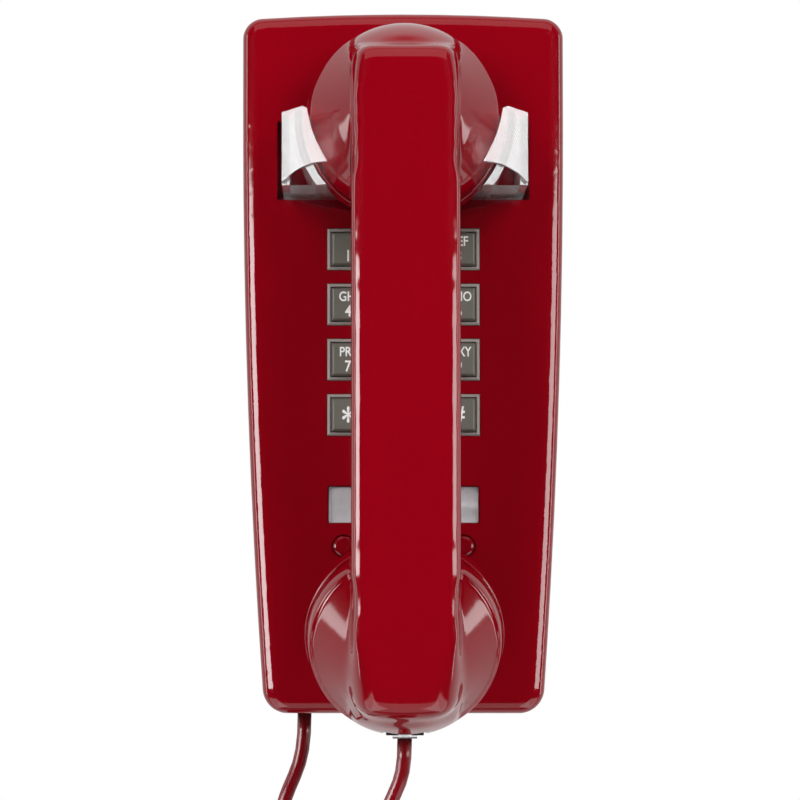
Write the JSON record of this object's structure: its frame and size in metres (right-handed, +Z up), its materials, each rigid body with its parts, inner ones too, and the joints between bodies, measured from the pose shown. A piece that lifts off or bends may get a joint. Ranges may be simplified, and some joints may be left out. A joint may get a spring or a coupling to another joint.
{
  "type": "corded wall telephone",
  "caption": "Glossy red corded wall telephone with a touch-tone keypad, its handset hung on a clear hook cradle, and a curly handset cord.",
  "frame": {"origin": "centre of the base plate's back face, which lies on the wall", "axes": "+Z up along the housing, +Y into the wall, +X to the right as seen from the front"},
  "size_m": [0.102, 0.1095, 0.3985],
  "materials": {
    "red_shell": "glossy moulded ABS",
    "zinc_steel": "zinc-plated sheet",
    "red_rest": "glossy",
    "bezel_grey": "satin",
    "mat_rubber": "matt",
    "board_green": "solder resist",
    "card_white": "paper",
    "clear_plastic": "clear moulded polycarbonate",
    "black_plastic": "moulded",
    "white_plastic": "moulded",
    "spring_steel": "drawn wire",
    "coil_copper": "enamelled winding",
    "gong_brass": "spun",
    "clear_plug": "clear moulded",
    "cord_red": "vinyl jacket",
    "key_grey": "satin with white legends"
  },
  "bodies": {
    "base": {"housing": "red_shell", "base_plate": "zinc_steel", "housing_screws": "zinc_steel", "rest_bumpers": "red_rest", "keypad_frame": "bezel_grey", "key_mat": "mat_rubber", "keypad_board": "board_green", "keypad_screws": "zinc_steel", "number_card": "card_white", "card_window": "clear_plastic", "network_board": "board_green", "network_parts": "black_plastic", "network_screws": "zinc_steel", "hook_bracket": "zinc_steel", "hook_pivot_pin": "spring_steel", "hook_spring": "spring_steel", "hookswitch": "black_plastic", "ringer_frame": "zinc_steel", "ringer_coil": "coil_copper", "gong_left": "gong_brass", "gong_right": "gong_brass", "gong_screws": "zinc_steel", "clapper_pin": "spring_steel", "volume_pin": "zinc_steel", "base_jack": "black_plastic", "base_cord_plug": "clear_plug", "line_jack": "black_plastic", "base_cord_lead": "cord_red", "curly_cord": "cord_red", "handset_cord_lead": "cord_red"},
    "handset": {"handset_handle": "red_shell", "receiver_cap": "red_shell", "receiver_unit": "black_plastic", "transmitter_cap": "red_shell", "transmitter_unit": "zinc_steel", "terminal_cup": "white_plastic", "handset_jack": "black_plastic", "handset_cord_plug": "clear_plug"},
    "hook": {"hook_cradle": "clear_plastic"},
    "hook_plunger": {"hookswitch_plunger": "white_plastic"},
    "clapper": {"clapper": "gong_brass"},
    "volume_wheel": {"volume_wheel": "black_plastic"},
    "key_1": {"key_1": "key_grey"},
    "key_2": {"key_2": "key_grey"},
    "key_3": {"key_3": "key_grey"},
    "key_4": {"key_4": "key_grey"},
    "key_5": {"key_5": "key_grey"},
    "key_6": {"key_6": "key_grey"},
    "key_7": {"key_7": "key_grey"},
    "key_8": {"key_8": "key_grey"},
    "key_9": {"key_9": "key_grey"},
    "key_star": {"key_star": "key_grey"},
    "key_0": {"key_0": "key_grey"},
    "key_pound": {"key_pound": "key_grey"}
  },
  "joints": [
    {"name": "handset_lift", "type": "slide", "parent": "base", "child": "handset", "axis": [0, 0, 1], "range_m": [0, 0.06]},
    {"name": "hook_swing", "type": "hinge", "parent": "base", "child": "hook", "pos_m": [0, -0.0131, 0.05268], "axis": [-1, 0, 0], "range_deg": [0, 3.5], "deforming": ["hook_spring"]},
    {"name": "plunger_rise", "type": "slide", "parent": "base", "child": "hook_plunger", "axis": [0, 0, 1], "range_m": [0, 0.0008]},
    {"name": "clapper_swing", "type": "hinge", "parent": "base", "child": "clapper", "pos_m": [0, -0.027, -0.058], "axis": [0, 1, 0], "range_deg": [-4, 4]},
    {"name": "volume_turn", "type": "hinge", "parent": "base", "child": "volume_wheel", "pos_m": [0.026, -0.014, -0.102], "axis": [0, 1, 0], "range_deg": [0, 90]},
    {"name": "key_1_press", "type": "slide", "parent": "base", "child": "key_1", "axis": [0, 0.9985, -0.054], "range_m": [0, 0.002], "stiffness_N_per_m": 300, "springref_m": -0.001},
    {"name": "key_2_press", "type": "slide", "parent": "base", "child": "key_2", "axis": [0, 0.9985, -0.054], "range_m": [0, 0.002], "stiffness_N_per_m": 300, "springref_m": -0.001},
    {"name": "key_3_press", "type": "slide", "parent": "base", "child": "key_3", "axis": [0, 0.9985, -0.054], "range_m": [0, 0.002], "stiffness_N_per_m": 300, "springref_m": -0.001},
    {"name": "key_4_press", "type": "slide", "parent": "base", "child": "key_4", "axis": [0, 0.9985, -0.054], "range_m": [0, 0.002], "stiffness_N_per_m": 300, "springref_m": -0.001},
    {"name": "key_5_press", "type": "slide", "parent": "base", "child": "key_5", "axis": [0, 0.9985, -0.054], "range_m": [0, 0.002], "stiffness_N_per_m": 300, "springref_m": -0.001},
    {"name": "key_6_press", "type": "slide", "parent": "base", "child": "key_6", "axis": [0, 0.9985, -0.054], "range_m": [0, 0.002], "stiffness_N_per_m": 300, "springref_m": -0.001},
    {"name": "key_7_press", "type": "slide", "parent": "base", "child": "key_7", "axis": [0, 0.9985, -0.054], "range_m": [0, 0.002], "stiffness_N_per_m": 300, "springref_m": -0.001},
    {"name": "key_8_press", "type": "slide", "parent": "base", "child": "key_8", "axis": [0, 0.9985, -0.054], "range_m": [0, 0.002], "stiffness_N_per_m": 300, "springref_m": -0.001},
    {"name": "key_9_press", "type": "slide", "parent": "base", "child": "key_9", "axis": [0, 0.9985, -0.054], "range_m": [0, 0.002], "stiffness_N_per_m": 300, "springref_m": -0.001},
    {"name": "key_star_press", "type": "slide", "parent": "base", "child": "key_star", "axis": [0, 0.9985, -0.054], "range_m": [0, 0.002], "stiffness_N_per_m": 300, "springref_m": -0.001},
    {"name": "key_0_press", "type": "slide", "parent": "base", "child": "key_0", "axis": [0, 0.9985, -0.054], "range_m": [0, 0.002], "stiffness_N_per_m": 300, "springref_m": -0.001},
    {"name": "key_pound_press", "type": "slide", "parent": "base", "child": "key_pound", "axis": [0, 0.9985, -0.054], "range_m": [0, 0.002], "stiffness_N_per_m": 300, "springref_m": -0.001}
  ],
  "couplings": [
    {"joint": "hook_swing", "follows": "handset_lift", "rad_per_m": 1.017},
    {"joint": "plunger_rise", "follows": "handset_lift", "ratio": 0.0122}
  ]
}
